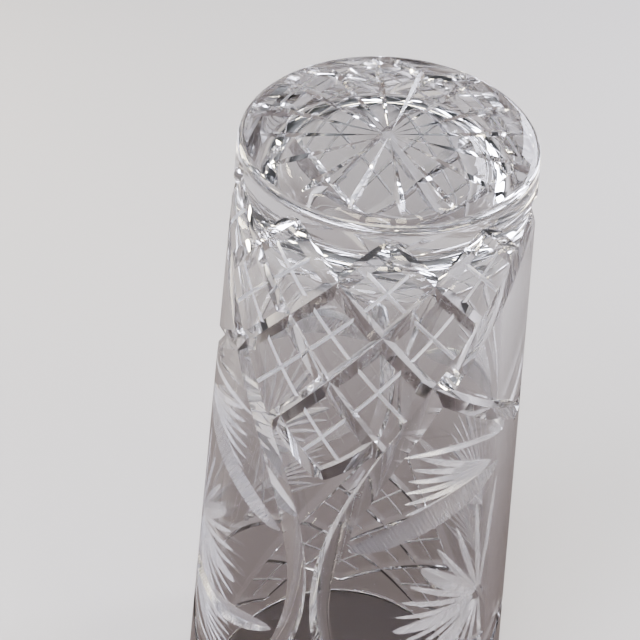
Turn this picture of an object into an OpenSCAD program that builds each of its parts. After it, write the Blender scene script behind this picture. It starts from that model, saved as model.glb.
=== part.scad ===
// Cut crystal vase, stored mouth down: it stands on its rim at z = 0, and its cut base faces up.
// Depths along the glass are counted from the base: 0 is the face of the base, height is the rim.

/* [Body] */
// Height from the rim to the face of the base
height = 310; // [250:1:375]
// Diameter of the base
base_d = 88; // [73:1:106]
// Diameter of the mouth, outside
mouth_d = 139; // [115:1:167]
// Depth of the plain polished band at the mouth
rim_h = 10; // [8:1:20]

/* [Glass] */
// Solid glass between the face of the base and the floor of the cavity
base_t = 18; // [15:1:26]
// Thickness of the side wall next to the base
wall_base_t = 8; // [6.5:0.5:10]
// Thickness of the side wall at the mouth
wall_mouth_t = 6; // [5:0.5:8]
// Radius between the floor of the cavity and its wall
floor_r = 12; // [8:1:16]
// Rounding of the edge of the base
edge_r = 2.5; // [1:0.5:4]
// Rounding of the rim, inside and outside
lip_r = 1.5; // [0.5:0.25:2]

/* [Star in the base] */
// Number of long rays
star_rays = 16; // [12:2:24]
// Plain ring that the vase rests on, from the ends of the rays to the rounded edge
ring_w = 3.5; // [2:0.5:6]
// Plain spot in the middle of the star
star_eye_d = 3; // [2:0.5:8]
// Depth of a ray at its outer end
ray_depth = 0.9; // [0.6:0.1:1.6]
// Width of a ray for each unit of its depth
ray_spread = 2.8; // [1.6:0.1:4]

/* [Lattice] */
// Hourglass panels round the vase
panels = 2; // [2:1:3]
// Rows of diamonds at each end of a panel
rows = 5; // [4:1:5]
// Plain band between the face of the base and the lattice
band_h = 5.5; // [4:0.5:10]
// Height of the first row, as a share of half the pattern
row_step = 0.107; // [0.09:0.001:0.12]
// Growth of the height from each row to the next
row_growth = 1.1; // [1.02:0.01:1.15]
// Length of the point that closes the lattice below its last row
point_h = 16; // [10:1:20]
// Depth of the mitre cuts where they cross
mitre_depth = 1.2; // [0.8:0.1:1.6]
// Width of a mitre cut for each unit of its depth
mitre_spread = 2.6; // [1.8:0.1:3]

/* [Sweeping cuts] */
// Angle from the middle of a panel to its sweeping cuts at the waist
waist_angle = 4.5; // [4:0.5:8]
// How fast the sweeping cuts part from the waist outwards
sweep_power = 2; // [1.8:0.05:2.2]
// Depth of the sweeping cuts
sweep_depth = 1.8; // [1:0.1:2.2]
// Width of a sweeping cut for each unit of its depth
sweep_spread = 3.6; // [2.4:0.1:4]
// Distance from the waist to the points where the cuts between two panels cross
cross_h = 57; // [45:1:65]

/* [Hidden] */
$fn = 96;
glass = [0.86, 0.9, 0.93];
arc_steps = 6;
sweep_strokes = 9;
cross_strokes = 3;
above = 3;
overrun = 0.4;
run_out = 3;

panel_angle = 360 / panels;
half_panel = panel_angle / 2;
half_cell = half_panel / rows;
half_pattern = (height - band_h - rim_h) / 2;
waist_depth = band_h + half_pattern;
star_r = base_d / 2 - edge_r - ring_w;

// Outside and inside radius of the vase at a depth
function outer_r(depth) = base_d / 2 + (mouth_d - base_d) / 2 * depth / height;
function wall_t(depth) = wall_base_t + (wall_mouth_t - wall_base_t) * depth / height;
function inner_r(depth) = outer_r(depth) - wall_t(depth);

// A point on the outside. The share is 1 at the base's end of the pattern, 0 at the waist and -1 at
// the mouth's end
function on_glass(angle, share) =
    let (depth = waist_depth - half_pattern * share)
        [outer_r(depth) * cos(angle), outer_r(depth) * sin(angle), height - depth];

// The edge of a panel narrows from half_panel at its ends to nothing at the waist, as a power of the
// distance from the waist. The rows of the lattice grow towards the waist by the same factor each.
function row_share(row) = 1 - row_step * (pow(row_growth, row) - 1) / (row_growth - 1);
point_share = row_share(rows - 1) - point_h / half_pattern;
function sweep_angle(share) = waist_angle + half_panel * pow(abs(share), sweep_power);
sweep_end = pow(1 - waist_angle / half_panel, 1 / sweep_power);

function unit(v) = v / norm(v);

// Rounded corner as points of an arc round a centre, from angle a0 to a1
function corner(centre, r, a0, a1) = [
    for (i = [0 : arc_steps])
        let (a = a0 + (a1 - a0) * i / arc_steps)
            centre + r * [cos(a), sin(a)]
];

// A straight mitre cut: a V-shaped bar whose edge runs below the line between two points of the
// outside, and past its ends by before and after
module mitre(from, to, depth, spread, before = overrun, after = overrun) {
    along = unit(to - from);
    middle = (from + to) / 2;
    side = unit(cross([middle.x, middle.y, 0], along));
    up = cross(along, side);
    tip = from - depth * up - before * along;
    half_w = (depth + above) * spread / 2;
    multmatrix([
        [side.x, up.x, along.x, tip.x],
        [side.y, up.y, along.y, tip.y],
        [side.z, up.z, along.z, tip.z]
    ])
        linear_extrude(norm(to - from) + before + after)
            polygon([[0, 0], [half_w, depth + above], [-half_w, depth + above]]);
}

// One ray of the star: its edge dips from the eye to ray_depth at the outer end
module ray(angle) {
    eye_r = star_eye_d / 2;
    dip = atan(ray_depth / (star_r - eye_r));
    rotate([0, 0, angle])
        translate([eye_r, 0, height])
            rotate([0, 90 + dip, 0])
                translate([0, 0, -eye_r / 2])
                    linear_extrude((star_r - eye_r) / cos(dip) + eye_r / 2)
                        polygon([
                            [0, 0],
                            [-above, above * ray_spread / 2],
                            [-above, -above * ray_spread / 2]
                        ]);
}

// Lattice at one end of a panel. From each crossing two cuts go outwards to the row before it, but
// the edge of the panel is left to the sweeping cuts.
module lattice(middle, end) {
    for (row = [1 : rows], i = [0 : rows - row], step = [-1, 1]) {
        at_edge = i == (step < 0 ? 0 : rows - row);
        angle = middle + (2 * i - (rows - row)) * half_cell;
        share = row < rows ? row_share(row) : point_share;
        if (row == rows || !at_edge)
            mitre(
                on_glass(angle + step * half_cell, end * row_share(row - 1)),
                on_glass(angle, end * share),
                mitre_depth,
                mitre_spread,
                row == rows ? run_out : overrun,
                i == 0 || i == rows - row ? (row == rows ? overrun : run_out) : overrun
            );
    }
}

// The two sweeping cuts of a panel, as chains of straight strokes from the base's end to the mouth's
module sweeps(middle) {
    step = sweep_end / sweep_strokes;
    for (i = [-sweep_strokes : sweep_strokes - 1], side = [-1, 1])
        mitre(
            on_glass(middle + side * sweep_angle(i * step), i * step),
            on_glass(middle + side * sweep_angle((i + 1) * step), (i + 1) * step),
            sweep_depth,
            sweep_spread
        );
}

// Between two panels, a cut goes on from each lattice and crosses the one from the other side
module crossing(middle, end) {
    start = row_share(rows - 2);
    stop = cross_h / half_pattern;
    angle = 2 * half_cell;
    for (i = [0 : cross_strokes - 1], side = [-1, 1])
        mitre(
            on_glass(
                middle + side * (angle + (half_panel - angle) * i / cross_strokes),
                end * (start + (stop - start) * i / cross_strokes)
            ),
            on_glass(
                middle + side * (angle + (half_panel - angle) * (i + 1) / cross_strokes),
                end * (start + (stop - start) * (i + 1) / cross_strokes)
            ),
            mitre_depth,
            mitre_spread
        );
}

// All the cuts in the side. The first panel faces the front.
module side_cuts() {
    for (p = [0 : panels - 1]) {
        middle = -90 + p * panel_angle;
        sweeps(middle);
        for (end = [-1, 1]) {
            lattice(middle, end);
            crossing(middle, end);
        }
    }
}

// Thick slab of glass with the star cut into its face
module base() {
    color(glass)
        difference() {
            rotate_extrude()
                polygon(concat(
                    [[0, height - base_t], [outer_r(base_t), height - base_t]],
                    corner([outer_r(edge_r) - edge_r, height - edge_r], edge_r, 0, 90),
                    [[0, height]]
                ));
            for (i = [0 : star_rays - 1])
                ray(i * 360 / star_rays);
            side_cuts();
        }
}

// Tapered tube that carries the pattern
module wall() {
    low = height - rim_h;
    color(glass)
        difference() {
            rotate_extrude()
                polygon(concat(
                    [
                        [inner_r(low), rim_h],
                        [outer_r(low), rim_h],
                        [outer_r(base_t), height - base_t]
                    ],
                    corner(
                        [inner_r(base_t + floor_r) - floor_r, height - base_t - floor_r],
                        floor_r, 90, 0
                    )
                ));
            side_cuts();
        }
}

// Plain band at the mouth, with a flat polished rim between two rounded lips
module rim() {
    low = height - lip_r;
    color(glass)
        rotate_extrude()
            polygon(concat(
                corner([outer_r(low) - lip_r, lip_r], lip_r, 0, -90),
                corner([inner_r(low) + lip_r, lip_r], lip_r, -90, -180),
                [[inner_r(height - rim_h), rim_h], [outer_r(height - rim_h), rim_h]]
            ));
}

base();
wall();
rim();
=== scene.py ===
# %% [markdown]
# # A cut crystal vase
# The vase is one piece of clear lead crystal. A glass maker shapes a thick tapered blank, and a cutter
# then presses it against spinning wheels whose edges are ground to a V. Every line of the pattern is
# such a groove. This lesson works in the same order: a blank turned from its profile, grooves computed
# as solid V-shaped bars, and one Boolean cut after another. The vase is stored mouth down, so its base
# with the cut star faces up.

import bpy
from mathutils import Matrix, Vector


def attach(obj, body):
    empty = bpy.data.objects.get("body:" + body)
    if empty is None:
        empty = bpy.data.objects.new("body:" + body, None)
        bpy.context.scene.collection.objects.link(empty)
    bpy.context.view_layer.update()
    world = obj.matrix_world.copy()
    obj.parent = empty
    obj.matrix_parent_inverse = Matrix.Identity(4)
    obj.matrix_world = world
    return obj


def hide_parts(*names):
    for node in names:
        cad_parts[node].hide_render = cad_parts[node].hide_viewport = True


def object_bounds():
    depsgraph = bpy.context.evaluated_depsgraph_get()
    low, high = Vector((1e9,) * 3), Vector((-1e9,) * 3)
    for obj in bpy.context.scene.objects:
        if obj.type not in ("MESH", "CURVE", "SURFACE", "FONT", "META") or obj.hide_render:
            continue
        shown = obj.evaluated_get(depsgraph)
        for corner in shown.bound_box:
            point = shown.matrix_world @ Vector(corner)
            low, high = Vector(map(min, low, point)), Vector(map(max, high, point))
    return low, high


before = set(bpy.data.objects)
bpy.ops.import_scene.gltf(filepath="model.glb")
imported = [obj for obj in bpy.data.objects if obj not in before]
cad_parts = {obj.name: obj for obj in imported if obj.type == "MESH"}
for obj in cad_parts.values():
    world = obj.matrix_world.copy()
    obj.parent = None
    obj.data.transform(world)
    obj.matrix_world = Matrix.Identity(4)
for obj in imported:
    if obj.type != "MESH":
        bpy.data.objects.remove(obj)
cad_box = [list(map(float, corner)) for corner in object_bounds()]

# %% [markdown]
# ## Sizes
# All lengths are in metres and all angles in degrees. A place on the outside is given by an angle round
# the axis and a depth, which is counted from the face of the base towards the mouth. The height comes
# from the frame, and the other sizes are those that the vase was designed with.

import bmesh
import bpy
import numpy as np
from mathutils import Matrix

MM = 0.001
HEIGHT = cad_box[1][2]
BASE_R = 44 * MM
MOUTH_R = 69.5 * MM
BASE_T = 18 * MM
WALL_AT_BASE = 8 * MM
WALL_AT_MOUTH = 6 * MM
FLOOR_R = 12 * MM
EDGE_R = 2.5 * MM
LIP_R = 1.5 * MM
BAND_H = 5.5 * MM
RIM_H = 10 * MM

TAPER = (MOUTH_R - BASE_R) / HEIGHT


def outer_r(depth):
    """Outside radius: a straight line from the base's radius to the mouth's."""
    return BASE_R + TAPER * depth


def inner_r(depth):
    """Inside radius: the outside radius less a wall that thins evenly towards the mouth."""
    return outer_r(depth) - WALL_AT_BASE - (WALL_AT_MOUTH - WALL_AT_BASE) * depth / HEIGHT


print(f"height {HEIGHT:.4f} m, base radius {BASE_R:.4f} m, mouth radius {MOUTH_R:.4f} m")

# %% [markdown]
# ## The blank
# A lathe form is a profile carried round an axis. The profile is one closed loop of points (radius,
# height) from the middle of the base, over the rounded edge, down the outside, round the lip and up
# the inside to the middle of the cavity's floor. Each stretch is divided into even rings, because
# Boolean cuts work best on faces of even size, and the two flat faces end in a small eye round the axis.


# %% Points of the profile
ARC_POINTS = 10
COVE_POINTS = 16
FACE_RINGS = 10
OUTSIDE_RINGS = 44
INSIDE_RINGS = 24
FLOOR_RINGS = 5
FACE_EYE = 0.02
FLOOR_EYE = 0.04


def stretch(start, end, count):
    """count points on the straight line from start to end, without the end."""
    share = np.linspace(0, 1, count, endpoint=False)[:, None]
    return np.array(start) * (1 - share) + np.array(end) * share


def fillet(centre, radius, angle_0, angle_1, count=ARC_POINTS):
    """Arc round centre: centre + radius * (cos, sin) of angles from angle_0 to angle_1 in degrees."""
    angle = np.radians(np.linspace(angle_0, angle_1, count))
    return np.array(centre) + radius * np.stack([np.cos(angle), np.sin(angle)], axis=1)


edge = fillet((outer_r(EDGE_R) - EDGE_R, HEIGHT - EDGE_R), EDGE_R, 90, 0)
lip_out = fillet((outer_r(HEIGHT - LIP_R) - LIP_R, LIP_R), LIP_R, 0, -90)
lip_in = fillet((inner_r(HEIGHT - LIP_R) + LIP_R, LIP_R), LIP_R, -90, -180)
floor_depth = BASE_T + FLOOR_R
cove = fillet((inner_r(floor_depth) - FLOOR_R, HEIGHT - floor_depth), FLOOR_R, 0, 90, COVE_POINTS)

face_middle = np.array([[0.0, HEIGHT]])
floor_middle = np.array([[0.0, HEIGHT - BASE_T]])
profile = np.concatenate([
    face_middle,
    stretch(edge[0] * (FACE_EYE, 1), edge[0], FACE_RINGS),
    edge,
    stretch(edge[-1], lip_out[0], OUTSIDE_RINGS)[1:],
    lip_out,
    lip_in,
    stretch(lip_in[-1], cove[0], INSIDE_RINGS)[1:],
    cove,
    stretch(cove[-1], cove[-1] * (FLOOR_EYE, 1), FLOOR_RINGS)[1:],
    floor_middle,
])


# %% Turning the profile
def lathe(points, segments):
    """Vertices r*cos(a), r*sin(a), z for every profile point and every angle a, and quads between
    neighbouring rings. The first and last points lie on the axis and close the form with triangles."""
    angle = np.linspace(0, 2 * np.pi, segments, endpoint=False)
    r, z = points[1:-1, 0:1], points[1:-1, 1:2]
    rings = np.stack([r * np.cos(angle), r * np.sin(angle), z + 0 * angle], axis=-1).reshape(-1, 3)
    first, last = len(rings), len(rings) + 1
    poles = [[0, 0, points[0, 1]], [0, 0, points[-1, 1]]]
    vertices = np.concatenate([rings, poles])
    here = np.arange(segments)
    after = np.roll(here, -1)
    row = np.arange(len(r) - 1)[:, None] * segments
    quads = np.stack([row + here, row + segments + here, row + segments + after, row + after], axis=-1)
    top = [(first, int(a), int(b)) for a, b in zip(here, after)]
    base = (len(r) - 1) * segments
    bottom = [(last, int(base + b), int(base + a)) for a, b in zip(here, after)]
    return vertices, quads.reshape(-1, 4).tolist() + top + bottom


def new_mesh(name, vertices, faces):
    """A mesh from arrays."""
    mesh = bpy.data.meshes.new(name)
    mesh.from_pydata(np.asarray(vertices).tolist(), [], faces)
    mesh.update()
    return mesh


SEGMENTS = 272

vase = bpy.data.objects.new("crystal_vase", new_mesh("crystal_vase", *lathe(profile, SEGMENTS)))
bpy.context.scene.collection.objects.link(vase)
print(f"blank: {len(vase.data.polygons)} faces")

# %% [markdown]
# ## Grooves
# The wheel leaves a groove with two flat sides. As a solid to be cut away, it is a bar with a
# triangular section: its edge lies below the glass, and its two other corners stand above it. The bar
# follows a path on the tapered side, or a ray on the base. Where the wheel eases out of the glass the
# edge rises to just above the surface, and the groove ends in a point.

# %% Bars along a path
LIFT = 1.2 * MM
SKIM = 0.02 * MM
FEWEST_POINTS = 6


def bars(place, normal, cut, slope_in, slope_out, lift=LIFT):
    """One V-shaped bar. Its section at each point of the path has an edge at place - cut * normal and
    two corners lift above the glass, (cut + lift) * slope to each side of the path."""
    ahead = np.gradient(place, axis=0)
    side = np.cross(ahead, normal)
    side /= np.linalg.norm(side, axis=1, keepdims=True)
    reach = (cut + lift)[:, None]
    low = place - cut[:, None] * normal
    high = place + lift * normal
    rings = np.stack([low, high + reach * slope_out * side, high - reach * slope_in * side], axis=1)
    count = len(place)
    row = np.arange(count - 1)[:, None] * 3
    corner = np.array([0, 1, 2])
    nxt = np.array([1, 2, 0])
    quads = np.stack([row + nxt, row + corner, row + 3 + corner, row + 3 + nxt], axis=-1)
    last = 3 * (count - 1)
    return rings.reshape(-1, 3), quads.reshape(-1, 4).tolist() + [(0, 1, 2), (last + 2, last + 1, last)]


def on_side(angle, depth):
    """Places and outward normals on the tapered side at angles in degrees and depths."""
    a = np.radians(angle)
    r = outer_r(depth)
    place = np.stack([r * np.cos(a), r * np.sin(a), HEIGHT - depth], axis=-1)
    normal = np.stack([np.cos(a), np.sin(a), TAPER + 0 * a], axis=-1)
    return place, normal / np.linalg.norm(normal, axis=-1, keepdims=True)


class Cutter:
    """Gathers bars in layers. The bars of one layer are laid out clear of each other, so that each layer
    is a clean solid, and the vase is cut once for each layer."""

    def __init__(self):
        self.layers = {}

    def add(self, layer, finish, place, normal, cut, slope_in, slope_out, lift=LIFT):
        """Puts one bar in a layer. finish is the number of the material that the groove shows."""
        vertices, faces = bars(place, normal, cut, slope_in, slope_out, lift)
        data = self.layers.setdefault(layer, {"vertices": [], "faces": [], "finish": []})
        start = len(data["vertices"])
        data["vertices"].extend(vertices.tolist())
        data["faces"].extend([[start + k for k in face] for face in faces])
        data["finish"].extend([finish] * len(faces))


POLISHED, CUT, SATIN, MATTE, RIBBED = FINISHES = range(5)
cutter = Cutter()

# %% [markdown]
# ## Where the lines run
# The pattern is laid out on a grid, as a cutter marks it with a compass. Two hourglass panels stand
# opposite each other. A panel's edge lies HALF_PANEL from its middle at both ends of the pattern and
# closes to nothing at the waist, halfway down: its angle is a power of the distance from the waist.
# The rows of the lattice grow from the end towards the waist, each by the same factor, and meet the
# edge where it crosses their columns.

# %% The grid of the pattern
PANELS = 2
FIRST_PANEL = -90
ROWS = 5
SWEEP_POWER = 2.0
ROW_STEP = 0.107
ROW_GROWTH = 1.1
HALF_PANEL = 180 / PANELS
HALF_CELL = HALF_PANEL / ROWS
HALF_PATTERN = (HEIGHT - BAND_H - RIM_H) / 2
WAIST = BAND_H + HALF_PATTERN
STEP = 1.5 * MM


def depth_of(share):
    """Depth of a share of the pattern: 1 is its end at the base, 0 the waist, -1 its end at the mouth."""
    return WAIST - HALF_PATTERN * share


def row_share(row):
    """Share of a row, also between rows: a geometric series, whose first step is ROW_STEP."""
    return 1 - ROW_STEP * (ROW_GROWTH**row - 1) / (ROW_GROWTH - 1)


def edge_angle(share):
    """Angle from a panel's middle to its edge: HALF_PANEL times a power of the share."""
    return HALF_PANEL * np.abs(share) ** SWEEP_POWER


def even(angle, depth, step=STEP):
    """The same path with points about step apart, measured along the glass."""
    r = outer_r(depth)
    run = np.hypot(np.diff(np.radians(angle)) * (r[1:] + r[:-1]) / 2, np.diff(depth))
    along = np.concatenate([[0], np.cumsum(run)])
    marks = np.linspace(0, along[-1], max(FEWEST_POINTS, int(along[-1] / step)))
    return np.interp(marks, along, angle), np.interp(marks, along, depth)


def eased(count, cut, ease_0, ease_1):
    """Depth of a groove along its path. It rises to the surface over the share ease_0 of the path at its
    start and ease_1 at its end, as a quarter of an ellipse, because the wheel is round."""
    t = np.linspace(0, 1, count)
    depth = np.full(count, float(cut))
    for near, ease in ((t, ease_0), (1 - t, ease_1)):
        if ease > 0:
            depth *= np.sqrt(np.clip(1 - np.clip(1 - near / ease, 0, 1) ** 2, 0, 1))
    return np.maximum(depth, -SKIM)


def groove(layer, angle, depth, cut, slope, ease=(0, 0), finish=CUT):
    """Cuts a groove with two equal flanks along a path of angles and depths on the side."""
    angle, depth = even(angle, depth)
    place, normal = on_side(angle, depth)
    cutter.add(layer, finish, place, normal, eased(len(angle), cut, *ease), slope, slope)


def two_ways(make):
    """Calls make(middle, side) for every panel and both of its sides. middle is the angle of the panel's
    middle, and side is 1 or -1 and mirrors the path that make describes."""
    for panel in range(PANELS):
        for side in (-1, 1):
            make(FIRST_PANEL + panel * 360 / PANELS, side)


def four_ways(make):
    """Calls make(middle, side, end) for both ends of the pattern too. end mirrors like side does."""
    def both_ends(middle, side):
        for end in (-1, 1):
            make(middle, side, end)

    two_ways(both_ends)


# %% [markdown]
# ## The lattice
# Lines that lean one way go into one layer, and lines that lean the other way into the next. Each
# line starts as a point in the plain band and ends in the sweeping cut at the panel's edge. Halfway
# between two of them runs a hair line, left matte, which makes the small cross in each diamond.

# %% Lattice
MITRE_CUT = 1.9 * MM
MITRE_SLOPE = 1.5
HAIR_CUT = 0.6 * MM
HAIR_SLOPE = 1.1
POINT_H = 16 * MM
POINT_CURVE = 0.8
PATH_POINTS = 200
CLOSING_POINTS = 40
CLOSING_RUN = (-0.1, 1.08)
LEAD_IN = 0.12
PAST_EDGE = 2
LINE_EASE = 0.1
HAIR_START = 0.5
HAIR_END = ROWS - 0.6


def lattice(middle, side, end):
    """Lines of one lean: their angle grows by half a cell for each row, until they meet the edge. The
    hair lines keep clear of the first and the last row."""
    row = np.linspace(-LEAD_IN, ROWS, PATH_POINTS)
    share = row_share(row)
    for c in range(1, ROWS):
        angle = -HALF_PANEL + HALF_CELL * (2 * c + row)
        inside = angle < edge_angle(share) + PAST_EDGE
        groove(("lean", side), middle + side * angle[inside], depth_of(end * share[inside]), MITRE_CUT,
               MITRE_SLOPE, (LINE_EASE, 0))
    for c in range(1, ROWS):
        angle = -HALF_PANEL + HALF_CELL * (2 * c - 1 + row)
        inside = (row > HAIR_START) & (row < HAIR_END) & (angle < edge_angle(share))
        groove(("hair", side), middle + side * angle[inside], depth_of(end * share[inside]), HAIR_CUT,
               HAIR_SLOPE, finish=MATTE)


def closing_point(middle, side, end):
    """The curved line that closes the lattice, from the panel's edge to its middle: it drops by POINT_H
    times a power of the way t that it has run. It starts and ends a little beyond its neighbours."""
    t = np.linspace(*CLOSING_RUN, CLOSING_POINTS)
    share = row_share(ROWS - 1) - POINT_H / HALF_PATTERN * np.clip(t, 0, None) ** POINT_CURVE
    groove(("lean", side), middle - side * HALF_CELL * (1 - t), depth_of(end * share), MITRE_CUT,
           MITRE_SLOPE, (0, LINE_EASE))


four_ways(lattice)
four_ways(closing_point)

# %% [markdown]
# ## The sweeping cuts
# These are the boldest lines. The wheel is held at a slant, so that the flank towards the lattice is
# narrow and steep and the other one is broad and catches the light. The cut is deepest where it
# leaves the lattice and shallower at the waist, where the two of a panel almost touch.

# %% Sweeping cuts
SWEEP_CUT = 2.7 * MM
WAIST_CUT = 2.4 * MM
SWEEP_STEEP = 0.8
SWEEP_BROAD = 2.3
SWEEP_POINTS = 400
SWEEP_EASE = 0.03
FULL_CUT_SHARE = 0.5
RIDGE_ANGLE = 0.8


def sweep_cut(share):
    """Depth of the sweeping cut: it grows evenly from the waist, and is full from FULL_CUT_SHARE on."""
    return WAIST_CUT + (SWEEP_CUT - WAIST_CUT) * np.clip(np.abs(share) / FULL_CUT_SHARE, 0, 1)


def sweep(middle, side):
    """A cut from one end of the pattern to the other. Its angle is that of the panel's edge plus half the
    ridge between two sweeps plus the steep flank's width."""
    share = np.linspace(-1, 1, SWEEP_POINTS)
    depth = depth_of(share)
    angle = RIDGE_ANGLE + edge_angle(share)
    angle += np.degrees(SWEEP_STEEP * sweep_cut(share) / outer_r(depth))
    inside = angle < HALF_PANEL + PAST_EDGE
    angle, depth = even(middle + side * angle[inside], depth[inside])
    cut = sweep_cut((WAIST - depth) / HALF_PATTERN) * eased(len(depth), 1, SWEEP_EASE, SWEEP_EASE)
    place, normal = on_side(angle, depth)
    cutter.add(("sweep", side), CUT, place, normal, cut, *(SWEEP_STEEP, SWEEP_BROAD)[::side])


two_ways(sweep)

# %% [markdown]
# ## Between the panels
# One line of the lattice goes on across the sweeping cut and meets its mirror image in the middle of
# the plain oval. Between it and the waist lie a fan of rays with short bracts above it and a crescent
# with ribs below it, and beside the waist a flower of long petals. Every petal is a single touch of the
# wheel: pointed at both ends, and deepest in the middle.

# %% Crossing lines
CROSS_H = 57 * MM
CROSS_CUT = 2.2 * MM
CROSS_POINTS = 80
CROSS_RUN = (-0.05, 1.08)
CROSS_EASE = 0.12


def crossing(middle, side, end):
    """A straight line from the lattice's third row to the middle of the oval, and a little beyond both."""
    t = np.linspace(*CROSS_RUN, CROSS_POINTS)
    start = row_share(ROWS - 2)
    angle = 2 * HALF_CELL + (HALF_PANEL - 2 * HALF_CELL) * t
    share = start + (CROSS_H / HALF_PATTERN - start) * t
    groove(("cross", side), middle + side * angle, depth_of(end * share), CROSS_CUT, MITRE_SLOPE,
           (0, CROSS_EASE))


four_ways(crossing)


# %% Petals
RIB_WAVE = 1.5 * MM
RIB_STEP = 0.25 * MM
PETAL_STEP = 1.2 * MM
PETAL_POINTS = 40
PETAL_SLOPE = 1.6


def petal(layer, middle, side, end, base, tip, width, bulge=0.0, slopes=(PETAL_SLOPE, PETAL_SLOPE),
          ribs=0.0, finish=SATIN):
    """One touch of the wheel from base to tip, both (angle, height above the waist). bulge bends it
    sideways by that share of its length, as a parabola. slopes are those of its two flanks, which trade
    places in a mirror image, and ribs is the height of the sine ripple that a coarse wheel leaves."""
    t = np.linspace(0, 1, PETAL_POINTS)
    base, tip = np.array(base, float), np.array(tip, float)
    flat = np.array([np.radians(1) * outer_r(WAIST), 1])
    across = ((tip - base) * flat)[::-1] * (-1, 1)
    bend = 4 * bulge * t * (1 - t)
    line = base + t[:, None] * (tip - base) + bend[:, None] * across / flat
    step = RIB_STEP if ribs else PETAL_STEP
    angle, depth = even(middle + side * line[:, 0], WAIST - end * line[:, 1], step)
    place, normal = on_side(angle, depth)
    cut = eased(len(angle), width / sum(slopes), 0.5, 0.5)
    cut += ribs * np.sin(2 * np.pi * np.arange(len(angle)) * RIB_STEP / RIB_WAVE)
    cutter.add(layer, finish, place, normal, np.maximum(cut, -SKIM), *slopes[::side * end])


# %% [markdown]
# ## The motifs
# Each motif is a short list of rules: where its node is, which way its petals point and how long they
# are. The nodes sit in the oval between the panels, and the crescent and the fan are mirrored four ways.
# The petals of a motif run into each other near its node, so each has a layer of its own. A fan and a
# flower overlap too, and the fan takes its layers from the other end of the flower's row.

# %% Crescent, fan and flower
CRESCENT_TIP = (12.5, 26 * MM)
CRESCENT_ROOT = (73, 47 * MM)
CRESCENT_W = 11.5 * MM
CRESCENT_BULGE = -0.09
CRESCENT_SLOPES = (3.6, 0.8)
CRESCENT_RIBS = 0.05 * MM

RAY_W = 2.6 * MM
FAN_NODE = (68, 50.5 * MM)
FAN_RAY = 37 * MM
FAN_DIRECTIONS = np.linspace(-13, 27, 6)
ARC_START = (73, 60 * MM)
ARC_TIP = (29, 68 * MM)
ARC_BULGE = -0.06
BRACT_NODE = (75, 60 * MM)
BRACT = 13 * MM
BRACT_DIRECTIONS = np.linspace(35, 80, 4)
BRACT_LAYER = 8

PETALS = 17
FLOWER_NODE = (67, -16 * MM)
FLOWER_EYE = 3 * MM
FLOWER_RAY = 36 * MM
FLOWER_GROWTH = 12 * MM
FLOWER_SPREAD = 96
GROWTH_ANGLE = 75
BROAD_PETALS = (4, 8, 12)
BROAD_W = 6.5 * MM
BROAD_SLOPE = 2.4


def towards(node, direction, length):
    """(angle, height) of the point at length from node. direction is in degrees: 0 points away from
    the oval's middle, 90 towards the nearer end of the pattern."""
    per_degree = np.radians(1) * outer_r(WAIST)
    turn = np.radians(direction)
    return node[0] - length * np.cos(turn) / per_degree, node[1] + length * np.sin(turn)


def crescent(middle, side, end):
    """A broad leaf that rises from the sweeping cut towards the oval's middle. Its upper flank is
    narrow and steep, and its lower one is broad and ribbed."""
    petal("broad", middle, side, end, CRESCENT_ROOT, CRESCENT_TIP, CRESCENT_W, CRESCENT_BULGE,
          CRESCENT_SLOPES, CRESCENT_RIBS, RIBBED)


def fan(middle, side, end):
    """Rays from one node, a bent line over them, and short bracts at the start of that line."""
    for k, direction in enumerate(FAN_DIRECTIONS):
        petal(("ray", PETALS - 1 - k), middle, side, end, FAN_NODE, towards(FAN_NODE, direction, FAN_RAY),
              RAY_W)
    petal("arc", middle, side, end, ARC_START, ARC_TIP, RAY_W, ARC_BULGE)
    for k, direction in enumerate(BRACT_DIRECTIONS):
        petal(("ray", BRACT_LAYER + k), middle, side, end, BRACT_NODE,
              towards(BRACT_NODE, direction, BRACT), RAY_W)


def flower(middle, side):
    """A spray of long petals that does not repeat at the other end. Some of them are broad, and their
    length grows with the square of the direction, so the outer ones are longer than the middle ones."""
    for k, direction in enumerate(np.linspace(-FLOWER_SPREAD, FLOWER_SPREAD, PETALS)):
        width, slope = (BROAD_W, BROAD_SLOPE) if k in BROAD_PETALS else (RAY_W, PETAL_SLOPE)
        length = FLOWER_RAY + FLOWER_GROWTH * (direction / GROWTH_ANGLE) ** 2
        petal(("ray", k), middle, side, 1, towards(FLOWER_NODE, direction, FLOWER_EYE),
              towards(FLOWER_NODE, direction, length), width, slopes=(slope, slope))


four_ways(crescent)
four_ways(fan)
two_ways(flower)

# %% [markdown]
# ## The star
# The base carries a star of long rays that grow deeper and wider outwards. They start on a small eye
# in the middle, so that no bar crosses its neighbour and one layer holds the whole star.

# %% Star in the base
STAR_RAYS = 16
STAR_R = 38 * MM
STAR_CUT = 1.0 * MM
STAR_SLOPE = 1.25
STAR_EYE_R = 1.2 * MM
STAR_LIFT = 0.1 * MM
STAR_POINTS = 40
STAR_DEEPEST = 0.82
STAR_RISE = 0.18


def star_ray(number):
    """The edge dips in a straight line over the share STAR_DEEPEST of the ray, and rises over the share
    STAR_RISE that is left, as a parabola."""
    t = np.linspace(0, 1, STAR_POINTS)
    r = STAR_EYE_R + (STAR_R - STAR_EYE_R) * t
    turn = 2 * np.pi * number / STAR_RAYS
    place = np.stack([r * np.cos(turn), r * np.sin(turn), HEIGHT + 0 * r], axis=-1)
    normal = np.tile([0.0, 0.0, 1.0], (len(t), 1))
    cut = STAR_CUT * np.minimum(t / STAR_DEEPEST, np.sqrt(np.clip((1 - t) / STAR_RISE, 0, 1)))
    cutter.add("star", CUT, place, normal, np.maximum(cut, -SKIM), STAR_SLOPE, STAR_SLOPE, STAR_LIFT)


for number in range(STAR_RAYS):
    star_ray(number)

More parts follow.
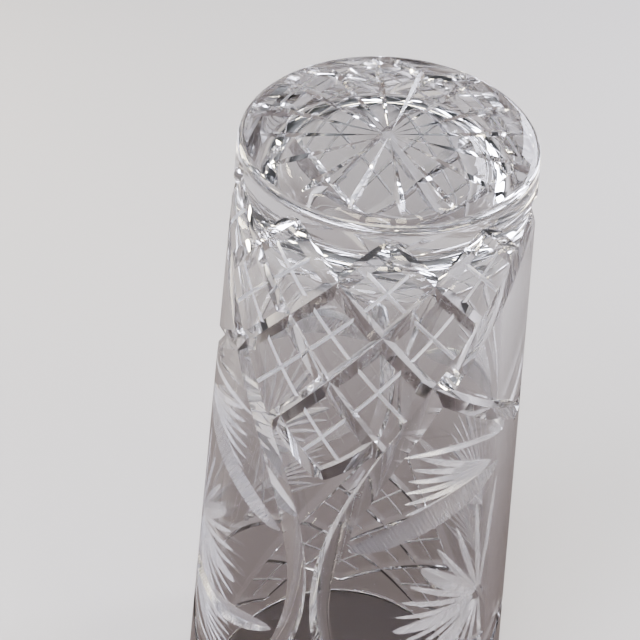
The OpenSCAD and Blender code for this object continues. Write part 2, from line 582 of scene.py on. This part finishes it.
# %% [markdown]
# ## Cutting
# A Boolean modifier takes one layer of bars away from the vase, and its result becomes the vase's
# mesh. The solver keeps the material number of every face, so the grooves stay known as cut glass. At
# the end the mesh is cleaned, as a cutter rinses the glass, and it is one closed surface.

# %% Boolean cuts
def take_away(obj, data):
    """Cuts one layer of bars out of obj and keeps the result as obj's mesh."""
    mesh = new_mesh("bars", data["vertices"], data["faces"])
    mesh.polygons.foreach_set("material_index", data["finish"])
    for _ in FINISHES:
        mesh.materials.append(None)
    tool = bpy.data.objects.new("bars", mesh)
    bpy.context.scene.collection.objects.link(tool)
    cut = obj.modifiers.new("cut", "BOOLEAN")
    cut.operation = "DIFFERENCE"
    cut.solver = "MANIFOLD"
    cut.object = tool
    depsgraph = bpy.context.evaluated_depsgraph_get()
    result = bpy.data.meshes.new_from_object(obj.evaluated_get(depsgraph))
    obj.modifiers.remove(cut)
    before, obj.data = obj.data, result
    bpy.data.meshes.remove(before)
    bpy.data.objects.remove(tool)
    bpy.data.meshes.remove(mesh)
    return len(result.polygons)


def clean(mesh):
    """Keeps the part of mesh that hangs together with its highest point, and closes open edges. Where
    three cuts meet, a crumb of glass can come loose, and a face without area can leave a slit."""
    mesh.validate()
    work = bmesh.new()
    work.from_mesh(mesh)
    kept, front = set(), [max(work.verts, key=lambda vertex: vertex.co.z)]
    while front:
        vertex = front.pop()
        if vertex not in kept:
            kept.add(vertex)
            front.extend(edge.other_vert(vertex) for edge in vertex.link_edges)
    crumbs = [vertex for vertex in work.verts if vertex not in kept]
    bmesh.ops.delete(work, geom=crumbs, context="VERTS")
    slits = [edge for edge in work.edges if edge.is_boundary]
    for face in bmesh.ops.holes_fill(work, edges=slits)["faces"]:
        face.material_index = CUT
    open_edges = sum(not edge.is_manifold for edge in work.edges)
    work.to_mesh(mesh)
    work.free()
    print(f"{len(crumbs)} loose vertices removed, {len(slits)} edges closed, {open_edges} still open")


for _ in FINISHES:
    vase.data.materials.append(None)
for data in cutter.layers.values():
    faces = take_away(vase, data)
print(f"{len(cutter.layers)} layers cut, {faces} faces")
clean(vase.data)

# %% [markdown]
# ## Smooth glass, crisp cuts
# Cutting leaves long thin faces on the blank, and averaged normals would make the polished glass look
# dented. The blank is a form of revolution, so its exact normal is known at every point: it is the
# normal of the profile, turned round the axis. The grooves keep averaged normals, split wherever two
# faces meet at more than a slight angle, so that a curved flank is smooth and its edges are sharp.

# %% Exact normals on the blank
SHARP_ANGLE = 12
ON_AXIS = 1e-9


def profile_normals(points):
    """Normal of the profile at each of its points: the mean direction of its two neighbouring
    stretches, turned a quarter turn outwards."""
    ahead = np.diff(points, axis=0)
    ahead /= np.linalg.norm(ahead, axis=1, keepdims=True)
    mean = np.concatenate([ahead[:1], ahead[1:] + ahead[:-1], ahead[-1:]])
    mean /= np.linalg.norm(mean, axis=1, keepdims=True)
    return np.stack([-mean[:, 1], mean[:, 0]], axis=1)


def nearest_on_profile(points):
    """For (radius, height) pairs: the distance to the profile, and its normal there. Each pair is
    projected on every stretch of the profile, and the nearest one counts."""
    normals = profile_normals(profile)
    start, run = profile[:-1], np.diff(profile, axis=0)
    best = np.full(len(points), np.inf)
    found = np.zeros((len(points), 2))
    for s, d, n0, n1 in zip(start, run, normals[:-1], normals[1:]):
        t = np.clip((points - s) @ d / (d @ d), 0, 1)[:, None]
        gap = np.linalg.norm(points - s - t * d, axis=1)
        closer = gap < best
        best[closer] = gap[closer]
        found[closer] = (n0 * (1 - t) + n1 * t)[closer]
    return best, found / np.linalg.norm(found, axis=1, keepdims=True)


def polish(mesh):
    """Sets the corner normals: exact ones on the blank, averaged and split ones in the grooves."""
    mesh.polygons.foreach_set("use_smooth", np.ones(len(mesh.polygons), bool))
    mesh.set_sharp_from_angle(angle=np.radians(SHARP_ANGLE))
    corners = np.zeros(len(mesh.loops) * 3)
    mesh.corner_normals.foreach_get("vector", corners)
    corners = corners.reshape(-1, 3)
    vertex = np.zeros(len(mesh.loops), int)
    mesh.loops.foreach_get("vertex_index", vertex)
    finish = np.zeros(len(mesh.polygons), int)
    mesh.polygons.foreach_get("material_index", finish)
    total = np.zeros(len(mesh.polygons), int)
    mesh.polygons.foreach_get("loop_total", total)
    on_blank = np.repeat(finish, total) == POLISHED
    place = np.zeros(len(mesh.vertices) * 3)
    mesh.vertices.foreach_get("co", place)
    place = place.reshape(-1, 3)
    radius = np.hypot(place[:, 0], place[:, 1])
    gap, normal = nearest_on_profile(np.stack([radius, place[:, 2]], axis=1))
    round_axis = place[:, :2] / np.maximum(radius, ON_AXIS)[:, None]
    exact = np.concatenate([round_axis * normal[:, :1], normal[:, 1:]], axis=1)
    corners[on_blank] = exact[vertex[on_blank]]
    print(f"largest distance of a blank corner from the profile: {gap[vertex[on_blank]].max():.6f} m")
    mesh.normals_split_custom_set(corners.tolist())


polish(vase.data)
triangles = len(vase.data.loops) - 2 * len(vase.data.polygons)
print(f"vase: {len(vase.data.polygons)} faces, {triangles} triangles")

# %% [markdown]
# ## Glass
# Lead crystal bends light more than window glass does, which is what makes cut edges sparkle. The
# polished glass has a faint film that dulls it in patches, and the cut flanks keep fine wheel marks.
# The crescents, the petals and the hair lines were polished less and less: each of them scatters more
# light than the one before, and the hair lines are left as the stone made them, matte and white.


# %% Shader maths
class Socket:
    """Wraps a node's output, so that sums and products of values are written as Python expressions."""

    def __init__(self, tree, link):
        self.tree, self.link = tree, link

    def node(self, kind, settings=None, **inputs):
        """Adds a node: settings first, then the values or links of its named inputs."""
        made = self.tree.nodes.new(kind)
        for name, value in (settings or {}).items():
            setattr(made, name, value)
        for name, value in inputs.items():
            spot = made.inputs[int(name[1:])] if name[0] == "_" else made.inputs[name.replace("_", " ")]
            if isinstance(value, Socket):
                self.tree.links.new(value.link, spot)
            else:
                spot.default_value = value
        return made

    def maths(self, operation, *values):
        """A Math node of that operation on values or links."""
        inputs = {f"_{k}": value for k, value in enumerate(values)}
        return Socket(self.tree, self.node("ShaderNodeMath", {"operation": operation}, **inputs).outputs[0])

    def __add__(self, other):
        return self.maths("ADD", self, other)

    def __sub__(self, other):
        return self.maths("SUBTRACT", self, other)

    def __rsub__(self, other):
        return self.maths("SUBTRACT", other, self)

    def __mul__(self, other):
        return self.maths("MULTIPLY", self, other)

    __radd__, __rmul__ = __add__, __mul__


CRYSTAL_IOR = 1.545


def crystal(name, tint, clear=1.0):
    """A glass that lets the share clear of the light through and scatters the rest. Returns the material
    and a Socket on Object coordinates."""
    material = bpy.data.materials.new(name)
    material.use_nodes = True
    tree = material.node_tree
    shader = tree.nodes["Principled BSDF"]
    shader.inputs["Base Color"].default_value = (*tint, 1)
    shader.inputs["Transmission Weight"].default_value = clear
    shader.inputs["IOR"].default_value = CRYSTAL_IOR
    return material, Socket(tree, tree.nodes.new("ShaderNodeTexCoord").outputs["Object"])


def drive(material, name, value):
    """Links a Socket to the input of that name on the material's shader."""
    value.tree.links.new(value.link, material.node_tree.nodes["Principled BSDF"].inputs[name])


def noise(place, scale, detail=3.0):
    """Soft noise from 0 to 1 on Object coordinates, scale waves to a metre."""
    made = place.node("ShaderNodeTexNoise", None, Vector=place, Scale=scale, Detail=detail)
    return Socket(place.tree, made.outputs["Fac"])


def band(place, value, low, high):
    """0 below low, 1 above high, smooth in between."""
    made = place.node("ShaderNodeMapRange", {"interpolation_type": "SMOOTHSTEP"}, Value=value,
                      From_Min=low, From_Max=high)
    return Socket(place.tree, made.outputs["Result"])


# %% Polished crystal
CLEAR_TINT = (0.975, 0.98, 0.99)
FILM_PATCHES = 26
FILM_GRAIN = 300
FILM_ROUGHNESS = 0.05


def polished_crystal():
    """Clear glass with a film: patches of noise with soft edges, times a finer grain."""
    material, place = crystal("polished_crystal", CLEAR_TINT)
    patches = band(place, noise(place, FILM_PATCHES), 0.5, 0.75)
    drive(material, "Roughness", patches * noise(place, FILM_GRAIN) * FILM_ROUGHNESS)
    return material


# %% Cut crystal
MARKS = 1500
MARK_STRENGTH = 0.05
MARK_DEPTH = 0.1 * MM


def cut_crystal():
    """Clear glass with wheel marks, both as a bump and as a little more roughness where they stand."""
    material, place = crystal("wheel_cut_crystal", CLEAR_TINT)
    marks = noise(place, MARKS, 1.0)
    bump = place.node("ShaderNodeBump", None, Height=marks, Strength=MARK_STRENGTH, Distance=MARK_DEPTH)
    drive(material, "Normal", Socket(place.tree, bump.outputs["Normal"]))
    drive(material, "Roughness", 0.015 + marks * 0.02)
    return material


# %% Ribbed, satin and matte glass
def dull_crystal(name, tint, clear, roughness, variation, grain):
    """Glass that scatters light: its roughness is a value plus a noise of that grain times variation."""
    material, place = crystal(name, tint, clear)
    drive(material, "Roughness", roughness + noise(place, grain) * variation)
    return material


vase_finishes = {
    POLISHED: polished_crystal(),
    CUT: cut_crystal(),
    RIBBED: dull_crystal("ribbed_crystal", (0.95, 0.95, 0.975), clear=0.92,
                         roughness=0.04, variation=0.06, grain=1800),
    SATIN: dull_crystal("satin_crystal", (0.94, 0.94, 0.97), clear=0.8,
                        roughness=0.14, variation=0.14, grain=2500),
    MATTE: dull_crystal("matte_hair_line", (0.86, 0.87, 0.9), clear=0.8,
                        roughness=0.35, variation=0.25, grain=4000),
}
for number, material in vase_finishes.items():
    vase.data.materials[number] = material

# %% [markdown]
# ## One piece in the frame
# The CAD model holds the vase as three zones, so that its collision shapes stay open inside. Glass must
# not have faces inside it, so this single mesh stands for all three.

# %% Placing the vase in the frame
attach(vase, "root")
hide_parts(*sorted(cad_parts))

# %% [markdown]
# ## Camera, floor and light
# The camera looks down on the upturned base. Clear glass shows nothing but what surrounds it, so the
# light is the other half of the material: large soft panels give broad white reflections, and a
# darker surround between them draws the edges of every cut. The camera itself sees an evenly pale
# floor and backdrop. Rays that have met the glass find the backdrop darker, and find the floor
# carrying a painted shade that is darkest near the vase.

# %% Camera
AZIMUTH = 14.0
HEADING = 17.17
ELEVATION = 34.74
PITCH_DOWN = 43.05
ROLL = 3.01
DISTANCE = 8.677 * BASE_R
LENS = 73.1
SENSOR = 36
NEAREST = 0.01

camera = bpy.data.objects.new("camera", bpy.data.cameras.new("camera"))
camera.data.lens = LENS
camera.data.sensor_width = SENSOR
camera.data.clip_start = NEAREST
level = DISTANCE * np.cos(np.radians(ELEVATION))
camera.matrix_world = (
    Matrix.Translation((
        level * np.sin(np.radians(AZIMUTH)),
        -level * np.cos(np.radians(AZIMUTH)),
        HEIGHT + DISTANCE * np.sin(np.radians(ELEVATION)),
    ))
    @ Matrix.Rotation(np.radians(HEADING), 4, "Z")
    @ Matrix.Rotation(np.radians(90 - PITCH_DOWN), 4, "X")
    @ Matrix.Rotation(np.radians(ROLL), 4, "Z")
)
bpy.context.scene.collection.objects.link(camera)
bpy.context.scene.camera = camera

# %% Floor
FLOOR_SIZE = 6.0
FLOOR_PALE = (0.40, 0.394, 0.385, 1)
# Painted shade: the dark tone that the floor shows only to rays that have met the glass.
FLOOR_PAINTED_SHADE = (0.075, 0.06, 0.055, 1)
FLOOR_ROUGHNESS = 0.8
SHADE_NEAR = 0.95
SHADE_LOSS = 0.5
SHADE_FROM = 0.12
SHADE_TO = 0.5


def pale_floor_painted_shade():
    """A matte floor, pale to the camera. To all other rays it is mixed with a painted shade, a dark tone
    whose share SHADE_NEAR falls by SHADE_LOSS between two distances from the vase, so it is darkest near
    it."""
    material = bpy.data.materials.new("pale_floor_painted_shade")
    material.use_nodes = True
    tree = material.node_tree
    place = Socket(tree, tree.nodes.new("ShaderNodeTexCoord").outputs["Object"])
    length = place.node("ShaderNodeVectorMath", {"operation": "LENGTH"}, _0=place)
    away = Socket(tree, length.outputs["Value"])
    seen = Socket(tree, tree.nodes.new("ShaderNodeLightPath").outputs["Is Camera Ray"])
    # Painted shade: the share of the dark tone, strongest near the vase and fading with distance, nothing
    # to the camera.
    shade = (SHADE_NEAR - band(away, away, SHADE_FROM, SHADE_TO) * SHADE_LOSS) * (1 - seen)
    mix = place.node("ShaderNodeMix", {"data_type": "RGBA"}, _0=shade, _6=FLOOR_PALE, _7=FLOOR_PAINTED_SHADE)
    drive(material, "Base Color", Socket(tree, mix.outputs[2]))
    tree.nodes["Principled BSDF"].inputs["Roughness"].default_value = FLOOR_ROUGHNESS
    return material


corners = np.array([(-1, -1, 0), (1, -1, 0), (1, 1, 0), (-1, 1, 0)]) * FLOOR_SIZE / 2
floor = bpy.data.objects.new("floor", new_mesh("floor", corners, [(0, 1, 2, 3)]))
floor.data.materials.append(pale_floor_painted_shade())
bpy.context.scene.collection.objects.link(floor)


# %% Light
COOL = (0.87, 0.87, 1.0)
WARM = (1.0, 0.9, 0.7)
# Each row holds a name, a place, a width and a height, the power in watts and a colour.
PANEL_LIGHTS = [
    ("window", (-0.5, -0.9, 1.05), 0.7, 0.7, 20, COOL),
    ("front", (0.1, -1.2, 0.9), 0.4, 0.3, 8, COOL),
    ("fill", (0.85, -0.4, 0.6), 0.35, 0.35, 4, WARM),
    ("back", (0.35, 1.0, 0.8), 0.8, 0.5, 10, COOL),
    ("overhead", (-0.1, 0.2, 1.5), 0.5, 0.5, 6, WARM),
    ("right_strip", (0.8, 0.55, 0.45), 0.18, 0.6, 6, COOL),
    ("left_strip", (-0.85, 0.3, 0.45), 0.18, 0.6, 5, WARM),
]


def panel_light(name, place, width, height, watts, colour):
    """A rectangular area light at place that faces the middle of the vase."""
    light = bpy.data.objects.new(name, bpy.data.lights.new(name, "AREA"))
    light.data.shape = "RECTANGLE"
    light.data.size = width
    light.data.size_y = height
    light.data.energy = watts
    light.data.color = colour
    light.visible_camera = False
    away = np.array(place) - (0, 0, HEIGHT / 2)
    away /= np.linalg.norm(away)
    across = np.cross((0, 0, 1), away)
    across /= np.linalg.norm(across)
    turn = np.identity(4)
    turn[:3] = np.stack([across, np.cross(away, across), away, place], axis=1)
    light.matrix_world = Matrix(turn.tolist())
    bpy.context.scene.collection.objects.link(light)


for light in PANEL_LIGHTS:
    panel_light(*light)

# %% Surround
CURTAIN = 0.08
SKY = 0.25
SKY_FROM = 0.35
SKY_TO = 0.85
SKY_COLOUR = (0.85, 0.87, 0.92, 1)
BACKDROP = 0.5
MATTE_SHARE = 0.4


def surround():
    """Soft light from all round. The glass sees a dark curtain with pale light above it. Matte surfaces
    get an even share of light more, and the camera itself sees a plain pale backdrop."""
    world = bpy.data.worlds.new("surround")
    world.use_nodes = True
    tree = world.node_tree
    direction = Socket(tree, tree.nodes.new("ShaderNodeTexCoord").outputs["Generated"])
    up = Socket(tree, direction.node("ShaderNodeSeparateXYZ", None, Vector=direction).outputs["Z"])
    path = tree.nodes.new("ShaderNodeLightPath")
    seen = Socket(tree, path.outputs["Is Camera Ray"])
    spread = Socket(tree, path.outputs["Is Diffuse Ray"])
    light = tree.nodes["Background"]
    light.inputs["Color"].default_value = SKY_COLOUR
    strength = CURTAIN + band(up, up, SKY_FROM, SKY_TO) * SKY + seen * BACKDROP + spread * MATTE_SHARE
    tree.links.new(strength.link, light.inputs["Strength"])
    return world


bpy.context.scene.world = surround()
bpy.context.scene.view_settings.view_transform = "AgX"
bpy.context.scene.view_settings.look = "AgX - High Contrast"

# %% [markdown]
# Light that enters the thick slab is thrown back and forth between the cuts many times before it comes
# out again. A ray that is given up on the way leaves a black facet, so the limits are set high.

# %% Long paths of light
BOUNCES = 64

for limit in ("max_bounces", "transmission_bounces", "glossy_bounces"):
    setattr(bpy.context.scene.cycles, limit, BOUNCES)
